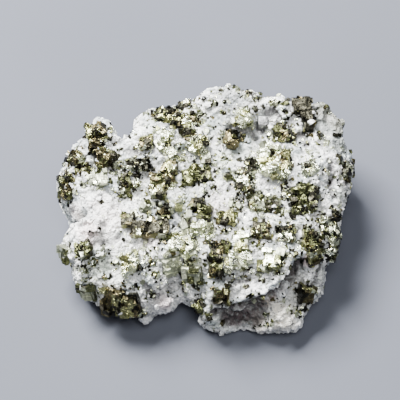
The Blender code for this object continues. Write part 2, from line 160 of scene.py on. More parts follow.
pyrite_solid = solid_of([clusters[name] for name in cluster_names])
pyrite_tree = BVHTree.FromBMesh(pyrite_solid)
face_owner = []
for index, name in enumerate(cluster_names):
    face_owner += [index] * len(solid_of([clusters[name]]).faces)

# The line of sight through each point of the picture. Places in the picture are counted
# from its top left corner, in 400ths of its side.
PICTURE_SIDE = 400
PICTURE_STEPS_PER_MM = 3.75
CAMERA_ELEVATION = math.radians(60)
CAMERA_DISTANCE = 420 * MM
FRAME_WIDTH = PICTURE_SIDE / PICTURE_STEPS_PER_MM * MM
AIM_POINT = Vector((-1.86, 1.52, 15.0)) * MM
backward = Vector((0, -math.cos(CAMERA_ELEVATION), math.sin(CAMERA_ELEVATION)))
upward = Vector((0, math.sin(CAMERA_ELEVATION), math.cos(CAMERA_ELEVATION)))
eye = AIM_POINT + backward * CAMERA_DISTANCE


def stone_at(x, y, tree):
    """The place and normal of the stone's skin at a point of the picture, or None."""
    across = (x - PICTURE_SIDE / 2) / PICTURE_SIDE * FRAME_WIDTH
    down = (y - PICTURE_SIDE / 2) / PICTURE_SIDE * FRAME_WIDTH
    through = AIM_POINT + Vector((across, 0, 0)) - upward * down
    place, normal, _, _ = tree.ray_cast(eye, (through - eye).normalized())
    return None if place is None else (place, normal)


# Crevices are followed in small steps, reach a little past their half width, are cut
# unevenly, and are painted dark with shade where they are deep
PATH_STEPS = 8
CREVICE_REACH = 1.4
CREVICE_CUT, RAGGED_CUT = 0.8, 0.8
DARK_CREVICE, DARK_FROM = 1.9, 0.15
# The deep crevices: half width and depth in mm, then a path in the picture. A negative
# depth is the height of a lip that stands proud above its crevice.
CREVICES = (
    (1.5, 2.6, (214, 314), (230, 311), (248, 305), (262, 300), (272, 296), (283, 289), (288, 280),
     (293, 271), (301, 262), (312, 264)),
    (1.5, -0.9, (216, 304), (232, 301), (248, 295), (262, 291), (272, 287), (280, 280),
     (284, 270), (290, 262), (300, 253)),
    (3.0, 2.4, (230, 318), (240, 320), (250, 318), (258, 310)),
    (1.0, 1.6, (64, 227), (72, 225), (84, 222)),
    (0.6, 1.0, (260, 127), (264, 119), (268, 114), (273, 111)),
    (0.6, 1.3, (273, 111), (278, 116), (283, 124)),
    (1.0, 1.5, (299, 134), (303, 139), (307, 144)),
    (1.0, 1.3, (106, 168), (116, 174), (124, 171)),
    (1.0, 1.3, (316, 262), (320, 270), (318, 282), (312, 292)),
    (1.0, 1.3, (128, 150), (140, 152), (152, 150)),
    (1.0, 1.3, (232, 128), (240, 132), (250, 130), (256, 136)),
    (0.9, 1.3, (176, 222), (184, 228), (190, 226)),
    (1.0, 1.4, (330, 160), (334, 172), (332, 186), (336, 198)),
    (0.9, 1.3, (214, 280), (226, 279), (238, 282), (250, 280)),
    (1.0, 1.3, (146, 286), (152, 294), (160, 298)),
    (1.0, 1.2, (96, 244), (110, 242), (120, 236)),
)


def path_points(stops, tree):
    """The places on the stone along a path that is given by its stops in the picture."""
    places = []
    for (x, y), (next_x, next_y) in zip(stops, stops[1:]):
        for step in range(PATH_STEPS):
            found = stone_at(x + (next_x - x) * step / PATH_STEPS,
                             y + (next_y - y) * step / PATH_STEPS, tree)
            if found is not None:
                places.append(found[0])
    return places


def keep(mesh, name, domain, values):
    """Stores one value for each point, corner or face, for a material to read."""
    layer = mesh.attributes.new(name, "FLOAT", domain)
    layer.data.foreach_set("value", values.astype(np.float32))


points = points_of(skin_mesh)
normals = normals_of(skin_mesh)
skin_faces = [face.vertices[:] for face in skin_mesh.polygons]
plain_tree = BVHTree.FromPolygons(points.tolist(), skin_faces)
carved = np.zeros(len(points))
for half_width, depth, *stops in CREVICES:
    places = path_points(stops, plain_tree)
    path = KDTree(len(places))
    for i, place in enumerate(places):
        path.insert(place, i)
    path.balance()
    gaps = np.array([path.find(point)[2] for point in points]) / MM
    cut = depth * smooth_step(CREVICE_REACH - gaps / half_width)
    carved = np.where(np.abs(cut) > np.abs(carved), cut, carved)
clear = np.empty(len(points))
relief = np.empty(len(points))
owner = np.empty(len(points), int)
edge_noise = np.empty(len(points))
for i, point in enumerate(points):
    place = Vector(point)
    near, facing, face, _ = pyrite_tree.find_nearest(place)
    clear[i] = (place - near).length * (1 if (place - near).dot(facing) > 0 else -1)
    owner[i] = face_owner[face]
    place /= MM
    bend = Vector((0, 0, BLOCK_BEND * noise.noise(place / BEND_SIZE)))
    cells, _ = noise.voronoi(place / BLOCK_SIZE + bend)
    grit, _ = noise.voronoi(place / CRUMB_SIZE)
    crags = noise.fractal(place / CRAG_SIZE, CRAG_FALL, CRAG_STEP, CRAG_LAYERS)
    blocks = min(cells[1] - cells[0], BLOCK_CRACK)
    crumbs = min(grit[1] - grit[0], CRUMB_CRACK)
    relief[i] = (CRAG_HEIGHT * crags + BLOCK_HEIGHT * blocks + CRUMB_HEIGHT * crumbs
                 - MIDDLE_HEIGHT)
    edge_noise[i] = noise.noise(place / CRUMB_SIZE)
relief -= carved * (CREVICE_CUT + RAGGED_CUT * edge_noise)
dive = smooth_step((DIVE_FROM + DIVE_RAGGED * edge_noise - clear) / (DIVE_FROM - DIVE_TO))
off_floor = smooth_step(points[:, 2] / FOOT_HEIGHT)
rise = (relief * MM * off_floor) * (1 - dive) - DIVE_DEPTH * dive
moved = np.clip(points + normals * rise[:, None], BOX_LOW, BOX_HIGH)
skin_mesh.vertices.foreach_set("co", moved.astype(np.float32).ravel())
skin_mesh.update()
skin_mesh.shade_smooth()
skin_normals = normals_of(skin_mesh)

# How deep each point lies in the relief and how sheltered it is, both painted as shade in the
# stone's colour, and how much dust it holds
keep(skin_mesh, "hollow_shade", "POINT", smooth_step(-relief / HOLLOW_DEPTH))
keep(skin_mesh, "dust", "POINT", smooth_step((DUST_REACH - clear) / DUST_FADE))
skin_tree = BVHTree.FromPolygons(moved.tolist(), skin_faces)
sheltered = np.zeros(len(points))
for i, (point, normal) in enumerate(zip(moved, skin_normals)):
    outward = Vector(normal)
    across = outward.orthogonal().normalized()
    start = Vector(point) + outward * SHELTER_START * MM
    for ray in range(SHELTER_RAYS):
        lean = Matrix.Rotation(ray * math.tau / SHELTER_RAYS, 3, outward) @ across
        _, _, _, met = skin_tree.ray_cast(start, outward + lean * SHELTER_LEAN, SHELTER_REACH)
        if met is not None:
            sheltered[i] += (1 - met / SHELTER_REACH) / SHELTER_RAYS
# The sheltered share, kept for the painted shade
keep(skin_mesh, "shelter_shade", "POINT", smooth_step((sheltered - SHELTER_FROM) / SHELTER_SPAN))
# Where the crevices are deep, for their painted shade
keep(skin_mesh, "crevice", "POINT", smooth_step(carved / DARK_CREVICE - DARK_FROM))


def link(tree, source, target):
    tree.links.new(source, target)


def new_material(name):
    material = bpy.data.materials.new(name)
    material.use_nodes = True
    return material, material.node_tree, material.node_tree.nodes["Principled BSDF"]


def noise_node(tree, scale, detail=3, roughness=0.5, distortion=0.0):
    node = tree.nodes.new("ShaderNodeTexNoise")
    node.inputs["Scale"].default_value = scale
    node.inputs["Detail"].default_value = detail
    node.inputs["Roughness"].default_value = roughness
    node.inputs["Distortion"].default_value = distortion
    place = tree.nodes.new("ShaderNodeTexCoord")
    link(tree, place.outputs["Object"], node.inputs["Vector"])
    return node.outputs["Fac"]


def ramp(tree, source, low, high):
    """0 below low and 1 above high."""
    node = tree.nodes.new("ShaderNodeMapRange")
    node.interpolation_type = "SMOOTHSTEP"
    node.inputs["From Min"].default_value = low
    node.inputs["From Max"].default_value = high
    link(tree, source, node.inputs["Value"])
    return node.outputs["Result"]


def arithmetic(tree, operation, first, second):
    node = tree.nodes.new("ShaderNodeMath")
    node.operation = operation
    for socket, value in zip(node.inputs, (first, second)):
        if isinstance(value, (int, float)):
            socket.default_value = value
        else:
            link(tree, value, socket)
    return node.outputs["Value"]


def times(tree, first, second):
    return arithmetic(tree, "MULTIPLY", first, second)


def painted_over(tree, under, colour, mask, strength=1):
    """The colour over what is under it, where the mask is."""
    if strength != 1:
        mask = times(tree, mask, strength)
    node = tree.nodes.new("ShaderNodeMix")
    node.data_type = "RGBA"
    if isinstance(under, tuple):
        node.inputs["A"].default_value = under
    else:
        link(tree, under, node.inputs["A"])
    node.inputs["B"].default_value = colour
    link(tree, mask, node.inputs["Factor"])
    return node.outputs["Result"]


def attribute(tree, name):
    node = tree.nodes.new("ShaderNodeAttribute")
    node.attribute_name = name
    return node.outputs["Fac"]


def spread(tree, source, low, high):
    """A value between low and high, as the source goes from 0 to 1."""
    node = tree.nodes.new("ShaderNodeMapRange")
    node.inputs["To Min"].default_value = low
    node.inputs["To Max"].default_value = high
    link(tree, source, node.inputs["Value"])
    return node.outputs["Result"]


def raised(tree, height_in_mm, shader):
    """Bumps of the given height in millimetres on the shader's surface."""
    bump = tree.nodes.new("ShaderNodeBump")
    bump.inputs["Strength"].default_value = 1
    bump.inputs["Distance"].default_value = MM
    link(tree, height_in_mm, bump.inputs["Height"])
    link(tree, bump.outputs["Normal"], shader.inputs["Normal"])


def tint_and_shade_patch_group():
    """A soft-edged round patch about a place: 1 in the middle, 0 beyond its reach."""
    group = bpy.data.node_groups.new("tint_and_shade_patch", "ShaderNodeTree")
    group.interface.new_socket("Centre", in_out="INPUT", socket_type="NodeSocketVector")
    group.interface.new_socket("Reach", in_out="INPUT", socket_type="NodeSocketFloat")
    group.interface.new_socket("Mask", in_out="OUTPUT", socket_type="NodeSocketFloat")
    given = group.nodes.new("NodeGroupInput")
    put_out = group.nodes.new("NodeGroupOutput")
    place = group.nodes.new("ShaderNodeTexCoord")
    gap = group.nodes.new("ShaderNodeVectorMath")
    gap.operation = "DISTANCE"
    link(group, place.outputs["Object"], gap.inputs[0])
    link(group, given.outputs["Centre"], gap.inputs[1])
    share = arithmetic(group, "DIVIDE", gap.outputs["Value"], given.outputs["Reach"])
    ragged = arithmetic(group, "ADD", share, noise_node(group, 260))
    link(group, ramp(group, ragged, 1.55, 0.75), put_out.inputs["Mask"])
    return group


# Where the stone is tinted, and where it is darkened: picture place, reach in mm, colour,
# strength. The dark mauve and brown patches in the recess under the slab's front edge, and
# the greys on the lower shelf, are painted shade.
TINTS_AND_SHADES = (
    # Painted shade over the stone's own mauve, in the recess under the slab's front edge
    (238, 317, 3.6, (0.19, 0.12, 0.13), 0.95),
    (247, 313, 3.0, (0.20, 0.13, 0.13), 0.95),
    (228, 314, 2.2, (0.24, 0.17, 0.17), 0.9),
    # Painted shade on the wall under the slab's edge
    (263, 302, 2.6, (0.15, 0.11, 0.09), 0.95),
    (272, 297, 2.0, (0.15, 0.11, 0.10), 0.9),
    # Painted shade on the lower shelf
    (290, 283, 5.5, (0.42, 0.42, 0.40), 0.7),
    (300, 300, 5.0, (0.50, 0.49, 0.45), 0.6),
    (330, 112, 6.5, (0.14, 0.14, 0.11), 0.85),
    (340, 130, 5.0, (0.13, 0.13, 0.11), 0.85),
    (230, 100, 6.5, (0.17, 0.19, 0.20), 0.75),
    (215, 125, 5.5, (0.19, 0.23, 0.22), 0.75),
    (322, 105, 4.0, (0.15, 0.16, 0.12), 0.8),
    (334, 122, 3.5, (0.12, 0.12, 0.10), 0.8),
    (336, 146, 4.5, (0.17, 0.18, 0.17), 0.8),
    (322, 128, 4.0, (0.22, 0.24, 0.23), 0.8),
    (344, 175, 4.0, (0.50, 0.44, 0.45), 0.6),
    (200, 145, 4.5, (0.20, 0.23, 0.20), 0.75),
    (240, 150, 5.0, (0.26, 0.30, 0.28), 0.7),
    (146, 118, 3.0, (0.48, 0.53, 0.53), 0.6),
    (196, 200, 4.0, (0.26, 0.28, 0.26), 0.7),
    (318, 165, 5.0, (0.68, 0.74, 0.74), 0.5),
    (175, 225, 4.0, (0.27, 0.29, 0.34), 0.7),
    (215, 285, 5.0, (0.32, 0.36, 0.38), 0.7),
    (140, 190, 5.0, (0.60, 0.60, 0.55), 0.6),
    (115, 185, 3.5, (0.60, 0.66, 0.68), 0.6),
    (88, 233, 5.0, (0.86, 0.70, 0.68), 0.7),
    (105, 215, 7.5, (0.88, 0.82, 0.79), 0.6),
    (310, 260, 3.5, (0.80, 0.66, 0.66), 0.8),
    (168, 305, 4.0, (0.74, 0.60, 0.60), 0.7),
    (150, 245, 4.0, (0.82, 0.72, 0.71), 0.6),
    (220, 205, 5.0, (0.86, 0.76, 0.74), 0.6),
    (100, 265, 5.0, (0.66, 0.74, 0.60), 0.6),
    (225, 160, 3.5, (0.52, 0.60, 0.46), 0.7),
    (181, 147, 2.2, (0.58, 0.68, 0.58), 0.8),
    (157, 121, 3.0, (0.55, 0.60, 0.58), 0.6),
    (280, 320, 7.0, (0.90, 0.84, 0.72), 0.8),
    (261, 321, 4.0, (0.88, 0.80, 0.70), 0.85),
    (76, 214, 4.5, (0.74, 0.66, 0.63), 0.7),
    (122, 165, 2.2, (0.30, 0.34, 0.34), 0.8),
    (258, 118, 4.0, (0.36, 0.38, 0.38), 0.6),
)


def fluorite_material():
    """White sugary stone with its tints, painted shade in its hollows, sheltered spots and
    crevices, frosty grain and pyrite dust.
    """
    material, tree, shader = new_material("fluorite")
    cool = ramp(tree, noise_node(tree, 150, 5, 0.6), 0.48, 0.64)
    colour = painted_over(tree, (0.86, 0.86, 0.84, 1), (0.40, 0.45, 0.47, 1), cool)
    green = ramp(tree, noise_node(tree, 95, 2), 0.56, 0.72)
    colour = painted_over(tree, colour, (0.68, 0.74, 0.63, 1), green, 0.6)
    # Painted shade: the hollows of the relief are greyed
    colour = painted_over(tree, colour, (0.27, 0.27, 0.27, 1), attribute(tree, "hollow_shade"), 0.75)
    # Painted shade where neighbouring stone shelters a point
    colour = painted_over(tree, colour, (0.15, 0.14, 0.145, 1), attribute(tree, "shelter_shade"), 0.8)
    smoky = ramp(tree, noise_node(tree, 330, 3, 0.6), 0.55, 0.70)
    colour = painted_over(tree, colour, (0.30, 0.32, 0.32, 1), smoky, 0.8)
    frost = ramp(tree, noise_node(tree, 1500, 3), 0.52, 0.64)
    colour = painted_over(tree, colour, (0.94, 0.94, 0.93, 1), frost, 0.7)
    tint_and_shade_patch = tint_and_shade_patch_group()
    # Round patches of colour, some of them painted shade
    for x, y, reach, tint_and_shade_colour, strength in TINTS_AND_SHADES:
        patch = tree.nodes.new("ShaderNodeGroup")
        patch.node_tree = tint_and_shade_patch
        patch.inputs["Centre"].default_value = stone_at(x, y, skin_tree)[0]
        patch.inputs["Reach"].default_value = reach * MM
        colour = painted_over(tree, colour, tint_and_shade_colour + (1,), patch.outputs["Mask"], strength)
    # Painted shade: deep crevices are darkened
    colour = painted_over(tree, colour, (0.06, 0.05, 0.05, 1), attribute(tree, "crevice"), 0.85)
    grey_grain = ramp(tree, noise_node(tree, 850, 4, 0.65), 0.47, 0.38)
    colour = painted_over(tree, colour, (0.22, 0.23, 0.22, 1), grey_grain, 0.85)
    specks = ramp(tree, noise_node(tree, 1700, 2, 0.6), 0.57, 0.62)
    specks = times(tree, specks, attribute(tree, "dust"))
    colour = painted_over(tree, colour, (0.09, 0.09, 0.065, 1), specks, 0.9)
    link(tree, colour, shader.inputs["Base Color"])
    link(tree, spread(tree, noise_node(tree, 700, 2), 0.3, 0.7), shader.inputs["Roughness"])
    shader.inputs["IOR"].default_value = 1.43
    shader.inputs["Subsurface Weight"].default_value = 0.4
    shader.inputs["Subsurface Radius"].default_value = (1.0, 0.97, 0.92)
    shader.inputs["Subsurface Scale"].default_value = 0.9 * MM
    grains = tree.nodes.new("ShaderNodeTexVoronoi")
    grains.inputs["Scale"].default_value = 1300
    place = tree.nodes.new("ShaderNodeTexCoord")
    link(tree, place.outputs["Object"], grains.inputs["Vector"])
    fine = times(tree, noise_node(tree, 2400, 4, 0.6), 0.24)
    coarse = times(tree, grains.outputs["Distance"], -0.40)
    raised(tree, arithmetic(tree, "ADD", fine, coarse), shader)
    return material


fluorite = fluorite_material()
skin = new_piece("fluorite_skin", skin_mesh)
skin_mesh.materials.clear()
skin_mesh.materials.append(fluorite)
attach(skin, "root")
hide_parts("fluorite_lump")

# The sugar is loose-looking white fluorite grains that are grown into the skin all over.
# Each is a small broken crystal, sunk into the stone so that only its corners stand out.
SUGAR_COUNT = 6000
SMALLEST_SUGAR, LARGEST_SUGAR = 0.4, 1.6
# How far it lies from the pyrite and above the floor, and the depth in mm from which a
# crevice holds none
SUGAR_CLEARANCE = 0.35 * MM
LOWEST_GRAIN = 1.5 * MM
SUGAR_DEPTH = 0.5
# How far apart crystals of unlike tone lie in the pattern of growth lines
STRIPE_SHIFT = 50
SPLINTER_CORNERS = 12
UNIT_CUBE = [Vector((x, y, z)) * 0.5 for x in (-1, 1) for y in (-1, 1) for z in (-1, 1)]


def hull_form(corners):
    """The convex hull of some corners: its points, triangles, and their stripes' axes."""
    work = bmesh.new()
    for corner in corners:
        work.verts.new(corner)
    bmesh.ops.convex_hull(work, input=work.verts)
    bmesh.ops.delete(work, geom=[v for v in work.verts if not v.link_faces], context="VERTS")
    bmesh.ops.recalc_face_normals(work, faces=work.faces)
    work.verts.index_update()
    places = np.array([v.co[:] for v in work.verts])
    faces = np.array([[v.index for v in f.verts] for f in work.faces])
    facing = np.array([f.normal[:] for f in work.faces])
    work.free()
    across = (np.abs(facing).argmax(1) + 1) % 3
    return places, faces, across


def splinter(chance):
    """A broken crystal: the hull of a dozen uneven corners."""
    corners = []
    for _ in range(SPLINTER_CORNERS):
        way = Vector([chance.gauss(0, 1) for _ in range(3)]).normalized()
        corners.append(way * chance.uniform(0.42, 0.62))
    return hull_form(corners)


def chipped_cube(chance):
    """A cube with two corners broken off."""
    corners = [corner * chance.uniform(0.9, 1.0) for corner in UNIT_CUBE]
    for index in chance.sample(range(8), 2):
        lost = corners[index]
        corners[index] = lost * 0.55
        for axis in range(3):
            edge = lost.copy()
            edge[axis] *= chance.uniform(0.1, 0.5)
            corners.append(edge)
    return hull_form(corners)


form_chance = random.Random("crystal forms")
CUBE = hull_form(UNIT_CUBE)
CHIPPED = [chipped_cube(form_chance) for _ in range(6)]
SPLINTERS = [splinter(form_chance) for _ in range(8)]


class Growth:
    """Crystals gathered for one piece, and joined into one mesh at the end."""

    def __init__(self):
        self.places, self.faces, self.stripes, self.tones, self.finishes = [], [], [], [], []
        self.count = 0

    def add(self, form, sides, turn, place, finish, tone):
        corners, faces, across = form
        sized = corners * np.array(sides)
        self.places.append(sized @ np.array(turn).T + np.array(place))
        self.faces.append(faces + self.count)
        stripe = sized[faces, across[:, None]] / MM
        self.stripes.append(stripe.ravel() + STRIPE_SHIFT * tone)
        self.tones.append(np.full(len(faces), tone))
        self.finishes.append(np.full(len(faces), finish))
        self.count += len(corners)

    def piece(self, name, materials):
        mesh = bpy.data.meshes.new(name)
        places = np.clip(np.concatenate(self.places), BOX_LOW, BOX_HIGH)
        mesh.from_pydata(places, [], np.concatenate(self.faces))
        keep(mesh, "stripe", "CORNER", np.concatenate(self.stripes))
        keep(mesh, "tone", "FACE", np.concatenate(self.tones))
        for material in materials:
            mesh.materials.append(material)
        finishes = np.concatenate(self.finishes).astype(np.int32)
        mesh.polygons.foreach_set("material_index", finishes)
        mesh.update()
        return new_piece(name, mesh)


def spun(chance, normal, along, most_tilt):
    """A turn whose Z leans from the normal by up to most_tilt degrees, and X from along."""
    stand = Matrix((along, normal.cross(along), normal)).transposed()
    lean = Matrix.Rotation(chance.uniform(0, math.tau), 3, "Z")
    tip = Matrix.Rotation(math.radians(chance.uniform(0, most_tilt)), 3, "X")
    spin = Matrix.Rotation(math.radians(2 * chance.uniform(-most_tilt, most_tilt)), 3, "Z")
    return stand @ lean @ tip @ lean.transposed() @ spin


def any_side(normal):
    """Some direction at right angles to the normal."""
    return normal.orthogonal().normalized()


sugar_chance = random.Random("sugar")
sugar = Growth()
above_floor = points[:, 2] > LOWEST_GRAIN
sugar_skin = np.flatnonzero((clear > SUGAR_CLEARANCE) & above_floor & (carved < SUGAR_DEPTH))
for i in sugar_chance.choices(sugar_skin, k=SUGAR_COUNT):
    above_smallest = (LARGEST_SUGAR - SMALLEST_SUGAR) * sugar_chance.random() ** 3
    size = (SMALLEST_SUGAR + above_smallest) * MM
    sides = (size, size * sugar_chance.uniform(0.6, 1), size * sugar_chance.uniform(0.6, 1))
    normal = Vector(skin_normals[i])
    turn = spun(sugar_chance, normal, any_side(normal), 90)
    form = sugar_chance.choice(SPLINTERS + CHIPPED)
    place = Vector(moved[i]) - normal * size * sugar_chance.uniform(0.1, 0.35)
    sugar.add(form, sides, turn, place, 0, 0)
sugar_grains = sugar.piece("fluorite_grains", [fluorite])
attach(sugar_grains, "root")


# The pyrite crystals are brassy cubes and broken lumps, grown through each other in
# clusters that are set in the stone. A cluster stands where its solid stands, with a
# broken, faceted body and smaller crystals over it and strewn round its foot.
def growth_line_group():
    """A pyrite face's growth lines and shelly breaks in mm, its dull patches and its tone."""
    group = bpy.data.node_groups.new("growth lines", "ShaderNodeTree")
    group.interface.new_socket("Lines per mm", in_out="INPUT", socket_type="NodeSocketFloat")
    group.interface.new_socket("Shelly break", in_out="INPUT", socket_type="NodeSocketFloat")
    group.interface.new_socket("Height", in_out="OUTPUT", socket_type="NodeSocketFloat")
    group.interface.new_socket("Dull", in_out="OUTPUT", socket_type="NodeSocketFloat")
    group.interface.new_socket("Tone", in_out="OUTPUT", socket_type="NodeSocketFloat")
    given = group.nodes.new("NodeGroupInput")
    put_out = group.nodes.new("NodeGroupOutput")
    stripe = times(group, attribute(group, "stripe"), given.outputs["Lines per mm"])
    steps = group.nodes.new("ShaderNodeTexNoise")
    steps.noise_dimensions = "1D"
    steps.inputs["Scale"].default_value = 1
    steps.inputs["Detail"].default_value = 1
    link(group, stripe, steps.inputs["W"])
    lines = times(group, ramp(group, steps.outputs["Fac"], 0.42, 0.58), 0.035)
    shells = times(group, noise_node(group, 750, 2, 0.5, 1.2), given.outputs["Shelly break"])
    pits = times(group, noise_node(group, 3000, 3, 0.6), 0.05)
    height = arithmetic(group, "ADD", lines, arithmetic(group, "ADD", shells, pits))
    link(group, height, put_out.inputs["Height"])
    link(group, ramp(group, noise_node(group, 620, 4, 0.6), 0.42, 0.62), put_out.inputs["Dull"])
    link(group, attribute(group, "tone"), put_out.inputs["Tone"])
    return group


growth_lines = growth_line_group()


def pyrite_material(name, fresh, worn, dark, gloss, lines, shelly):
    """Pyrite whose crystals run from fresh to worn, with dark, duller patches on each."""
    material, tree, shader = new_material(name)
    grown = tree.nodes.new("ShaderNodeGroup")
    grown.node_tree = growth_lines
    grown.inputs["Lines per mm"].default_value = lines
    grown.inputs["Shelly break"].default_value = shelly
    colour = painted_over(tree, fresh + (1,), worn + (1,), grown.outputs["Tone"])
    dull = grown.outputs["Dull"]
    colour = painted_over(tree, colour, dark + (1,), dull, 0.65)
    link(tree, colour, shader.inputs["Base Color"])
    shader.inputs["Metallic"].default_value = 1
    link(tree, spread(tree, dull, *gloss), shader.inputs["Roughness"])
    raised(tree, grown.outputs["Height"], shader)
    return material


# Each finish: its fresh, worn and dark colours, its roughness from bright to dull, its
# growth lines to the mm and the height of its shelly breaks in mm. The finishes are
# pyrite's tarnish tones, and also how its facets catch the light: the cream one, brighter
# than pyrite itself, is partly painted highlight, and the black one partly painted shade.
pyrite_finishes = [
    # Partly painted highlight: pale cream, brighter than fresh pyrite
    pyrite_material("cream pyrite", (0.90, 0.94, 0.77), (0.74, 0.78, 0.55),
                    (0.30, 0.31, 0.16), (0.12, 0.32), 5, 0.35),
    pyrite_material("gold pyrite", (0.44, 0.44, 0.21), (0.26, 0.26, 0.115),
                    (0.08, 0.078, 0.032), (0.15, 0.36), 5, 0.32),
    pyrite_material("bronze pyrite", (0.165, 0.14, 0.07), (0.085, 0.073, 0.038),
                    (0.025, 0.022, 0.013), (0.16, 0.4), 6, 0.28),
    pyrite_material("olive pyrite", (0.16, 0.17, 0.075), (0.085, 0.09, 0.04),
                    (0.028, 0.03, 0.015), (0.18, 0.42), 5, 0.22),
    pyrite_material("grey pyrite", (0.56, 0.59, 0.45), (0.30, 0.32, 0.23),
                    (0.10, 0.105, 0.075), (0.38, 0.62), 4, 0.18),
    # Partly painted shade: near black, for facets in shade
    pyrite_material("black pyrite", (0.04, 0.038, 0.027), (0.018, 0.017, 0.012),
                    (0.007, 0.007, 0.006), (0.16, 0.42), 6, 0.25),
]

# How a cluster looks: its way of breaking, the size of its crystals in mm, and the
# share of each finish: cream, gold, bronze, olive, grey, black
LOOKS = {
    "bright": ("broken", 3.2, (9, 1.5, 0.1, 0.3, 0.8, 1)),
    "gold": ("broken", 2.2, (2, 3.5, 1.5, 2, 0.3, 1.5)),
    "bronze": ("broken", 1.9, (0.8, 1.5, 3, 1.5, 0, 3)),
    "olive": ("broken", 1.9, (0, 0.5, 0.8, 5, 0.2, 4.5)),
    "field": ("fine", 1.4, (0.8, 0.3, 0.2, 2, 3, 1.5)),
    "brown": ("stepped", 2.6, (0, 0.15, 0.5, 0, 0, 8)),
    "mixed": ("broken", 2.3, (1.5, 1.6, 2.2, 2, 0.5, 3.5)),
    "cube": ("stepped", 3.4, (0.3, 1.5, 5, 0, 0, 3.5)),
    "smooth": ("stepped", 3.4, (4, 0, 0, 0, 7, 0)),
    "green": ("stepped", 3.4, (0.1, 0.5, 0, 3, 3, 0.6)),
    "pale": ("stepped", 3.2, (1.5, 2.5, 0, 1, 3, 0.2)),
    "faceted": ("stepped", 3.0, (1, 2.5, 2.2, 0.6, 0, 2.5)),
    "grey": ("stepped", 3.0, (0.5, 0.2, 0, 1.2, 4.5, 0.6)),
    "black": ("fine", 1.7, (0.8, 0.4, 0.8, 0.7, 1.5, 6.5)),
    "sparkle": ("fine", 1.3, (3, 1, 0.4, 0.6, 1, 4.5)),
    "striped": ("stepped", 2.4, (1.3, 1.5, 2.5, 1, 0.5, 2.5)),
}
CLUSTER_LOOKS = {
    "bright": ("mirror", "saddle", "cream_blade", "bright_mass", "silver_ball", "white_ledge",
               "cream_field", "front_facet", "striped_bar", "back_foot"),
    "gold": ("notch", "middle_left", "lens", "back_wall_right"),
    "mixed": ("back_group",),
    "brown": ("bronze_crystal",),
    "cube": ("front_cube",),
    "smooth": ("smooth_cube",),
    "field": ("dull_field",),
    "faceted": ("brown_block", "shelf_cube", "ledged_cube"),
    "bronze": ("left_crest", "left_shoulder", "left_edge", "brown_knob", "brown_group",
               "back_wall_left"),
    "olive": ("ring", "olive_wedge", "olive_group", "gold_seam", "brown_cube", "green_mass",
              "front_seam", "left_side"),
    "pale": ("pale_cube", "yellow_crystal"),
    "green": ("green_corner", "green_plate", "front_dome", "back_wall_middle"),
    "grey": ("pale_pair", "grey_cube", "ball", "grey_knob", "grey_pebble", "grey_corner"),
    "black": ("black_bar", "back_bar", "right_edge", "black_cube"),
    "sparkle": ("sparkling_group", "sparkling_pair", "right_group"),
    "striped": ("striped_group", "striped_cube", "right_side"),
}
FINISHES = range(len(pyrite_finishes))
# Each way of breaking: the crystals' lean in degrees, how many grow on a mm2, and on the
# cluster's core the depth of its breaks in mm, its rounds of smoothing and the share of
# its faces that is left
MOST_TILT = {"stepped": 6, "broken": 40, "fine": 50}
CRYSTALS_PER_MM2 = {"stepped": 0.3, "broken": 0.6, "fine": 1.4}
CORE_BREAK = {"stepped": 0.2, "broken": 0.6, "fine": 0.5}
CORE_SMOOTHING = {"stepped": 1, "broken": 6, "fine": 6}
CORE_FACES = {"stepped": 0.1, "broken": 0.16, "fine": 0.16}
CORE_CELL = 0.4 * MM
FINISHES_ON_A_CORE = 7
FINISH_PATCH_SIZE = 2.2
SHELL_SIZE, SHELL_HEIGHT, SHELL_CRACK = 1.5, 0.8, 0.6
SWELL_SIZE, MIDDLE_SWELL = 1.9, 0.15
# A small crystal as a share of its size: how thick a step is and how deep a broken one
# is sunk. A step stands out of the face by up to STEP_RISE in mm.
STEP_THICKNESS, STEP_RISE, SUNK = 0.4, 0.16, 0.24
# A face under this area in mm2 is a sliver, and nothing grows on it
SMALLEST_FACE = 0.001
EXPOSED_GAP = 0.42 * MM
# The crystals round a cluster's foot
STREWN_CRYSTALS = 70
STREW_FROM, STREW_REACH = 0.3 * MM, 2.4 * MM
STREW_CLUMP = 1.8 * MM
LOWEST_STREWN = 1.2 * MM
LARGEST_STREWN = 1.9


def triangles_of(mesh):
    """The mesh's triangles as corner points."""
    mesh.calc_loop_triangles()
    return points_of(mesh)[np.array([t.vertices[:] for t in mesh.loop_triangles])]


def loose(way):
    """How a stepped, broken or fine cluster's crystals break where they lie loose."""
    return "broken" if way == "stepped" else way


def one_crystal(growth, chance, way, size, place, normal, along, finish):
    """One small crystal, sunk into the face that it grows from."""
    turn = spun(chance, normal, along, MOST_TILT[way])
    if way == "stepped":
        thickness = size * STEP_THICKNESS
        sides = (size * chance.uniform(0.5, 1), size * chance.uniform(0.4, 1), thickness)
        rise = STEP_RISE * chance.random() * MM - 0.5 * thickness
        form = CUBE
    else:
        sides = (size, size * chance.uniform(0.5, 0.95), size * chance.uniform(0.5, 0.95))
        rise = -SUNK * size
        form = chance.choice(SPLINTERS + CHIPPED if way == "broken" else CHIPPED + [CUBE] * 3)
    growth.add(form, sides, turn, place + normal * rise, finish, chance.random())


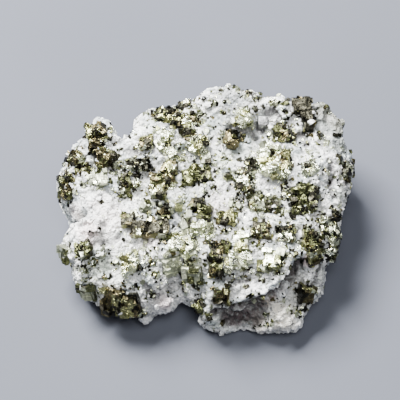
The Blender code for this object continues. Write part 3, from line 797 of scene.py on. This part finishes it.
def broken_core(growth, obj, way, finishes, chance):
    """The cluster's own solid, with its faces broken up into uneven facets."""
    depth = CORE_BREAK[way]
    rounded = bmesh.new()
    rounded.from_mesh(modified(solid_of([obj]), "REMESH", mode="VOXEL", voxel_size=CORE_CELL))
    for _ in range(CORE_SMOOTHING[way]):
        bmesh.ops.smooth_vert(rounded, verts=rounded.verts, factor=0.5,
                              use_axis_x=True, use_axis_y=True, use_axis_z=True)
    core = bpy.data.meshes.new("core")
    rounded.to_mesh(core)
    rounded.free()
    places = points_of(core)
    outward = normals_of(core)
    for i, place in enumerate(places):
        at = Vector(place) / MM
        cells, _ = noise.voronoi(at / SHELL_SIZE)
        shells = min(cells[1] - cells[0], SHELL_CRACK)
        swell = noise.noise(at / SWELL_SIZE) + SHELL_HEIGHT * shells - MIDDLE_SWELL
        places[i] = place + outward[i] * depth * swell * MM
    core.vertices.foreach_set("co", places.astype(np.float32).ravel())
    work = bmesh.new()
    work.from_mesh(core)
    facets = modified(work, "DECIMATE", ratio=CORE_FACES[way])
    corners = triangles_of(facets)
    facing = np.cross(corners[:, 1] - corners[:, 0], corners[:, 2] - corners[:, 0])
    across = (np.abs(facing).argmax(1) + 1) % 3
    for triangle, axis, ahead in zip(corners, across, facing):
        # On a stepped core each face direction takes one of the core's finishes, so a crystal's
        # sides differ in tone like lit and shaded sides: painted light and shade
        if way == "stepped":
            patch = (2 * axis + (ahead[axis - 1] > 0)) / 6
        else:
            at = Vector(triangle.mean(0)) / MM
            patch = abs(noise.cell(at / FINISH_PATCH_SIZE + Vector((7, 3, 5))))
        finish = finishes[int(patch * len(finishes)) % len(finishes)]
        form = (triangle, np.array([[0, 1, 2]]), np.array([axis]))
        tone = 0.5 * patch + 0.5 * chance.random() * min(1, 2 * depth)
        growth.add(form, (1, 1, 1), np.eye(3), (0, 0, 0), finish, tone)


def cover(growth, obj, way, most, shares, chance):
    """Small crystals over the part of a cluster's solid that stands out of the stone."""
    for a, b, c in triangles_of(obj.data):
        a, b, c = Vector(a), Vector(b), Vector(c)
        normal = (b - a).cross(c - a)
        area = normal.length / 2 / MM**2
        if area < SMALLEST_FACE:
            continue
        normal.normalize()
        along = min((b - a, c - b, a - c), key=lambda edge: edge.length).normalized()
        wanted = area * CRYSTALS_PER_MM2[way]
        for _ in range(int(wanted) + (chance.random() < wanted % 1)):
            u, v = chance.random(), chance.random()
            if u + v > 1:
                u, v = 1 - u, 1 - v
            place = a + (b - a) * u + (c - a) * v
            if lump_tree.find_nearest(place)[3] < EXPOSED_GAP:
                continue
            size = most * MM * (0.3 + 0.7 * chance.random() ** 1.3)
            finish = chance.choices(FINISHES, shares)[0]
            one_crystal(growth, chance, way, size, place, normal, along, finish)


def strew(growth, near_skin, way, most, shares, chance):
    """Small crystals in the stone round the foot of a cluster."""
    for i in chance.choices(near_skin, k=STREWN_CRYSTALS):
        nearness = 1 - clear[i] / STREW_REACH
        if noise.noise(Vector(moved[i]) / STREW_CLUMP) > 0.5 * nearness:
            continue
        size = min(most, LARGEST_STREWN) * MM * (0.25 + 0.75 * nearness * chance.random())
        normal = Vector(skin_normals[i])
        finish = chance.choices(FINISHES, shares)[0]
        place = Vector(moved[i])
        one_crystal(growth, chance, way, size, place, normal, any_side(normal), finish)


lump_tree = BVHTree.FromBMesh(solid_of([lump]))
look_of = {"pyrite_" + name: look for look, names in CLUSTER_LOOKS.items() for name in names}
for index, name in enumerate(cluster_names):
    way, most, shares = LOOKS[look_of[name]]
    chance = random.Random(name)
    growth = Growth()
    finishes = chance.choices(FINISHES, shares, k=FINISHES_ON_A_CORE)
    broken_core(growth, clusters[name], way, finishes, chance)
    cover(growth, clusters[name], way, most, shares, chance)
    near_skin = np.flatnonzero((owner == index) & (clear > STREW_FROM) & (clear < STREW_REACH)
                               & (points[:, 2] > LOWEST_STREWN))
    if len(near_skin):
        strew(growth, near_skin, loose(way), most, shares, chance)
    cluster = growth.piece(name + "_crystals", pyrite_finishes)
    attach(cluster, "root")
    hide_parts(name)

# Smaller pyrite patches and single grains lie all over the stone, between the clusters.
# Each patch is a handful of crystals sunk in the skin, at its place in the picture.
PATCHES = (
    # x, y, half width, half height, look, crystal size in mm
    (118, 166, 7, 6, "green", 1.6), (115, 172, 3, 3, "grey", 1.3), (115, 144, 2, 2, "black", 0.9),
    (118, 156, 4, 2, "black", 0.9), (121, 149, 2, 2, "black", 0.8), (157, 130, 4, 4, "grey", 1.8),
    (160, 108, 5, 4, "black", 1.3), (195, 107, 5, 3, "grey", 1.3), (215, 102, 4, 3, "black", 1.2),
    (224, 101, 2, 2, "black", 0.8), (223, 112, 3, 3, "grey", 1.2), (221, 90, 3, 2, "black", 0.9),
    (228, 89, 2, 2, "black", 0.8), (238, 92, 3, 2, "black", 0.9), (248, 92, 5, 3, "black", 1.0),
    (203, 122, 4, 4, "grey", 1.4), (195, 124, 4, 3, "olive", 1.2), (205, 140, 4, 3, "grey", 1.2),
    (190, 148, 9, 5, "bright", 1.3), (183, 158, 5, 4, "bright", 1.4),
    (241, 137, 5, 5, "bronze", 1.3), (225, 160, 6, 4, "green", 1.2), (213, 166, 4, 4, "grey", 1.5),
    (175, 158, 6, 3, "bright", 1.3), (172, 170, 5, 4, "gold", 1.3), (256, 98, 6, 5, "black", 0.7),
    (256, 109, 4, 3, "black", 1.1), (274, 103, 6, 5, "sparkle", 1.0),
    (285, 103, 4, 4, "olive", 1.3), (297, 105, 4, 4, "gold", 1.2), (312, 119, 3, 4, "black", 1.3),
    (287, 130, 9, 8, "bronze", 1.3), (269, 135, 4, 4, "bright", 1.6),
    (274, 139, 3, 3, "black", 1.2), (290, 150, 5, 1.5, "black", 1.0),
    (261, 160, 5, 9, "bright", 1.4), (284, 173, 5, 5, "sparkle", 1.3),
    (309, 152, 4, 4, "grey", 1.4), (320, 135, 4, 4, "olive", 1.3), (327, 143, 3, 3, "bright", 1.7),
    (340, 161, 3, 4, "olive", 1.0), (347, 165, 3, 4, "black", 1.2), (83, 185, 5, 4, "grey", 1.1),
    (126, 178, 4, 5, "olive", 1.3), (136, 184, 5, 4, "bright", 1.3), (101, 202, 3, 2, "black", 0.8),
    (125, 220, 2, 3, "black", 1.0), (137, 231, 7, 6, "bronze", 1.6), (142, 217, 3, 2, "black", 0.9),
    (150, 215, 3, 3, "black", 1.0), (143, 248, 4, 3, "grey", 1.3), (105, 250, 4, 1.5, "black", 0.9),
    (157, 194, 5, 4, "gold", 1.5), (165, 195, 3, 6, "black", 1.1), (171, 186, 4, 4, "bright", 1.6),
    (182, 187, 3, 3, "olive", 1.2), (205, 184, 2, 3, "grey", 1.0), (198, 176, 8, 7, "olive", 1.3),
    (213, 187, 4, 4, "olive", 1.0), (205, 192, 3, 3, "grey", 1.1),
    (245, 182, 12, 14, "sparkle", 1.1), (202, 209, 9, 9, "olive", 1.5),
    (188, 217, 4, 4, "grey", 1.4), (164, 215, 6, 6, "black", 1.3), (158, 229, 8, 6, "striped", 1.5),
    (208, 233, 8, 6, "bright", 1.5), (205, 226, 6, 1.5, "black", 1.1),
    (207, 242, 5, 3, "olive", 1.2), (218, 245, 6, 6, "bronze", 1.3),
    (185, 243, 12, 11, "bright", 1.3), (185, 243, 12, 11, "olive", 0.9),
    (237, 205, 9, 9, "black", 0.7), (155, 248, 4, 2, "black", 1.1), (262, 200, 13, 11, "grey", 1.1),
    (275, 207, 6, 5, "grey", 1.5), (305, 197, 13, 12, "olive", 1.6), (298, 210, 6, 2, "black", 1.2),
    (308, 213, 5, 3, "gold", 1.3), (285, 195, 5, 7, "sparkle", 0.9),
    (260, 233, 9, 7, "striped", 1.4), (261, 248, 5, 4, "grey", 1.2),
    (288, 232, 7, 7, "sparkle", 1.2), (281, 240, 4, 4, "bright", 1.6),
    (322, 220, 7, 7, "gold", 1.2), (328, 230, 7, 7, "sparkle", 1.2), (336, 215, 5, 7, "black", 1.3),
    (308, 227, 5, 3, "black", 1.2), (316, 235, 5, 6, "sparkle", 1.1),
    (314, 249, 6, 4, "bronze", 1.4), (336, 246, 5, 9, "bronze", 1.3),
    (287, 255, 6, 3, "sparkle", 0.9), (92, 264, 5, 3, "gold", 1.3), (83, 271, 6, 4, "grey", 1.3),
    (83, 280, 4, 3, "grey", 1.0), (115, 263, 4, 3, "black", 1.3), (107, 276, 5, 4, "black", 1.3),
    (112, 286, 2, 2, "black", 0.7), (155, 275, 6, 4, "gold", 1.6), (152, 262, 4, 4, "bronze", 1.1),
    (169, 292, 3, 2, "olive", 1.0), (196, 287, 4, 4, "black", 1.2), (184, 285, 4, 3, "grey", 1.0),
    (216, 267, 7, 6, "gold", 1.3), (211, 276, 4, 4, "bright", 1.6), (236, 262, 9, 7, "bright", 1.4),
    (229, 260, 3, 6, "black", 1.2), (200, 304, 4, 4, "gold", 1.4), (207, 315, 6, 3, "gold", 1.4),
    (250, 295, 4, 3, "black", 1.0), (280, 262, 5, 6, "black", 1.4),
    (264, 265, 5, 5, "striped", 1.3), (268, 271, 5, 3, "grey", 1.2), (263, 280, 4, 2, "black", 1.2),
    (278, 273, 6, 3, "sparkle", 0.9), (297, 291, 3, 3, "olive", 1.1),
    (294, 311, 7, 5, "green", 1.9), (300, 316, 4, 2, "black", 1.0), (268, 323, 7, 4, "grey", 1.9),
    (266, 326, 6, 2, "black", 1.3), (266, 314, 4, 3, "grey", 1.4), (140, 312, 5, 6, "black", 1.5),
    (130, 306, 5, 4, "gold", 1.6), (118, 298, 5, 5, "gold", 1.4), (112, 303, 3, 6, "black", 1.4),
    (176, 115, 12, 8, "bronze", 1.3), (190, 132, 9, 4, "gold", 1.4), (200, 116, 7, 6, "grey", 1.3),
    (243, 118, 7, 8, "bright", 1.5), (248, 123, 3, 4, "black", 1.2),
    (168, 178, 9, 9, "bronze", 1.3), (225, 138, 8, 9, "grey", 1.3),
    (165, 143, 7, 5, "sparkle", 1.1), (90, 170, 6, 5, "olive", 1.0), (84, 165, 6, 5, "bronze", 1.5),
    (91, 173, 5, 5, "gold", 1.4), (78, 171, 4, 4, "bronze", 1.3), (70, 178, 5, 5, "bronze", 1.4),
    (155, 115, 6, 5, "mixed", 1.5), (165, 119, 7, 6, "mixed", 1.6), (182, 123, 7, 6, "bronze", 1.6),
    (172, 116, 2, 7, "brown", 1.3), (198, 116, 6, 8, "black", 1.4), (187, 134, 10, 3, "black", 1.0),
    (170, 148, 5, 4, "brown", 1.4), (145, 144, 6, 5, "striped", 1.2),
    (174, 160, 8, 4, "bright", 1.6), (172, 168, 8, 4, "gold", 1.5), (158, 179, 6, 7, "bronze", 1.4),
    (196, 175, 5, 5, "black", 1.2), (136, 174, 6, 4, "brown", 1.6), (123, 190, 4, 6, "green", 1.6),
    (137, 184, 4, 4, "bright", 1.7), (300, 112, 5, 5, "gold", 1.3), (247, 160, 5, 4, "olive", 1.2),
    (246, 176, 9, 7, "black", 1.1), (244, 184, 7, 6, "bright", 1.4), (281, 172, 5, 5, "black", 1.2),
    (255, 198, 9, 8, "field", 1.6), (272, 204, 10, 9, "field", 1.7), (262, 211, 10, 6, "grey", 1.5),
    (248, 191, 6, 5, "olive", 1.4), (281, 212, 6, 5, "field", 1.4), (285, 186, 4, 6, "black", 1.2),
    (267, 147, 5, 5, "bright", 2.0), (261, 168, 5, 5, "bright", 1.8),
    (289, 162, 3, 8, "black", 1.3), (298, 107, 3, 4, "gold", 1.2), (165, 240, 6, 5, "black", 1.1),
    (178, 236, 8, 5, "sparkle", 1.3), (190, 262, 7, 5, "sparkle", 1.2),
    (224, 250, 5, 5, "sparkle", 1.2), (240, 238, 8, 6, "mixed", 1.2),
)
CRYSTALS_PER_PATCH_AREA, FEWEST_IN_A_PATCH = 1.4, 5
PATCH_RISE = 0.13
# The single grains: their number, how far they lie from the clusters, their looks, and
# the smallest and the range in mm
SPRINKLED_GRAINS = 4200
GRAIN_CLEARANCE = 0.75 * MM
GRAIN_LOOKS = ("black", "black", "olive", "grey", "grey", "bronze", "sparkle")
SMALLEST_GRAIN, GRAIN_RANGE = 0.22, 1.5
# Low on the lump there are half as many
LOW_STONE, LOW_SHARE = 10 * MM, 0.5
# Where few or many of them lie: x, y, half width, half height, share of the usual number
MOST_GRAINS = 1.8
GRAIN_REGIONS = (
    (98, 215, 32, 28, 0.12), (262, 318, 50, 17, 0.15), (335, 120, 20, 26, 0.35),
    (295, 283, 26, 16, 0.3), (170, 308, 34, 12, 0.4), (122, 150, 20, 18, 0.5),
    (235, 230, 60, 50, 1.8), (230, 105, 45, 20, 1.5), (300, 180, 40, 50, 1.4),
)


def patch_of_grains(growth, x, y, half_width, half_height, look, most, chance):
    """A handful of crystals at their places in the picture, thinning out to the rim."""
    way, _, shares = LOOKS[look]
    count = int(half_width * half_height * CRYSTALS_PER_PATCH_AREA / most**1.5)
    for _ in range(count + FEWEST_IN_A_PATCH):
        round_by = chance.uniform(0, math.tau)
        out_by = chance.random() ** 0.6
        found = stone_at(x + half_width * out_by * math.cos(round_by),
                         y + half_height * out_by * math.sin(round_by), skin_tree)
        if found is None:
            continue
        place, normal = found
        size = most * MM * (1.15 - 0.5 * out_by) * chance.uniform(0.55, 1)
        finish = chance.choices(FINISHES, shares)[0]
        place = place + normal * PATCH_RISE * size
        one_crystal(growth, chance, loose(way), size, place, normal, any_side(normal), finish)


def grains_at(place):
    """How many grains lie about a place of the stone, as a share of the usual number."""
    from_aim = place - AIM_POINT
    across = from_aim.x / FRAME_WIDTH * PICTURE_SIDE + PICTURE_SIDE / 2
    down = PICTURE_SIDE / 2 - from_aim.dot(upward) / FRAME_WIDTH * PICTURE_SIDE
    share = 1.0
    for x, y, half_width, half_height, factor in GRAIN_REGIONS:
        if ((across - x) / half_width) ** 2 + ((down - y) / half_height) ** 2 < 1:
            share *= factor
    return share


# In both grain pieces the cream crystals are partly painted highlight and the black ones partly
# painted shade, as in their finishes
patches = {"bright_pyrite": Growth(), "tarnished_pyrite": Growth()}
for number, patch in enumerate(PATCHES):
    bright = patch[4] in ("bright", "gold", "sparkle")
    growth = patches["bright_pyrite" if bright else "tarnished_pyrite"]
    patch_of_grains(growth, *patch, random.Random(number))
open_skin = np.flatnonzero((clear > GRAIN_CLEARANCE) & above_floor)
grain_chance = random.Random("sprinkled grains")
left_to_place = SPRINKLED_GRAINS
while left_to_place > 0:
    i = grain_chance.choice(open_skin)
    place = Vector(moved[i])
    wanted = grains_at(place) * (1 if place.z > LOW_STONE else LOW_SHARE)
    if grain_chance.random() * MOST_GRAINS > wanted:
        continue
    left_to_place -= 1
    look = grain_chance.choice(GRAIN_LOOKS)
    size = (SMALLEST_GRAIN + GRAIN_RANGE * grain_chance.random() ** 3.5) * MM
    growth = patches["tarnished_pyrite" if look != "sparkle" else "bright_pyrite"]
    normal = Vector(skin_normals[i])
    finish = grain_chance.choices(FINISHES, LOOKS[look][2])[0]
    way = grain_chance.choice(("fine", "broken"))
    one_crystal(growth, grain_chance, way, size, place, normal, any_side(normal), finish)
for slot_name, growth in patches.items():
    grains = growth.piece(slot_name + "_grains", pyrite_finishes)
    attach(grains, "root")

# The floor is a plain board, much wider than the view. It is no part of the specimen and
# only takes its shadow.
FLOOR_SIZE = 3.0
floor_mesh = bpy.data.meshes.new("floor")
floor_work = bmesh.new()
bmesh.ops.create_grid(floor_work, x_segments=1, y_segments=1, size=FLOOR_SIZE / 2)
floor_work.to_mesh(floor_mesh)
floor_work.free()
floor = new_piece("floor", floor_mesh)
floor_material, floor_tree, floor_shader = new_material("pale floor")
floor_tint = ramp(floor_tree, noise_node(floor_tree, 12, 2), 0.3, 0.7)
floor_colour = painted_over(floor_tree, (0.072, 0.078, 0.098, 1), (0.078, 0.084, 0.105, 1),
                            floor_tint)
link(floor_tree, floor_colour, floor_shader.inputs["Base Color"])
floor_shader.inputs["Roughness"].default_value = 0.9
floor_mesh.materials.append(floor_material)


# The light is soft: a large window above and behind the lump's left, a weaker one from
# the front right, and a dim room that the crystal faces reflect between them.
def soft_light(name, place, size, power, colour):
    light = bpy.data.lights.new(name, "AREA")
    light.shape = "RECTANGLE"
    light.size, light.size_y = size
    light.energy = power
    light.color = colour
    lamp = bpy.data.objects.new(name, light)
    lamp.location = place
    lamp.rotation_euler = (-Vector(place)).to_track_quat("-Z", "Y").to_euler()
    bpy.context.scene.collection.objects.link(lamp)


soft_light("window", (-0.36, 0.46, 0.72), (0.5, 0.42), 78, (1.0, 1.0, 0.985))
soft_light("fill", (0.12, -0.25, 0.95), (0.5, 0.5), 9.5, (0.97, 0.98, 1.0))
room = bpy.data.worlds.new("room")
room.use_nodes = True
room.node_tree.nodes["Background"].inputs["Color"].default_value = (0.042, 0.0435, 0.05, 1)
room.node_tree.nodes["Background"].inputs["Strength"].default_value = 1.0
bpy.context.scene.world = room

# The camera looks down at the lump's front from 60 degrees above the floor, from the
# distance of a hand-held close-up.
SENSOR_WIDTH = 36
camera_data = bpy.data.cameras.new("camera")
camera_data.sensor_width = SENSOR_WIDTH
camera_data.lens = SENSOR_WIDTH * CAMERA_DISTANCE / FRAME_WIDTH
camera_data.clip_start = 0.01
camera = bpy.data.objects.new("camera", camera_data)
camera.location = eye
camera.rotation_euler = (math.pi / 2 - CAMERA_ELEVATION, 0, 0)
bpy.context.scene.collection.objects.link(camera)
bpy.context.scene.camera = camera
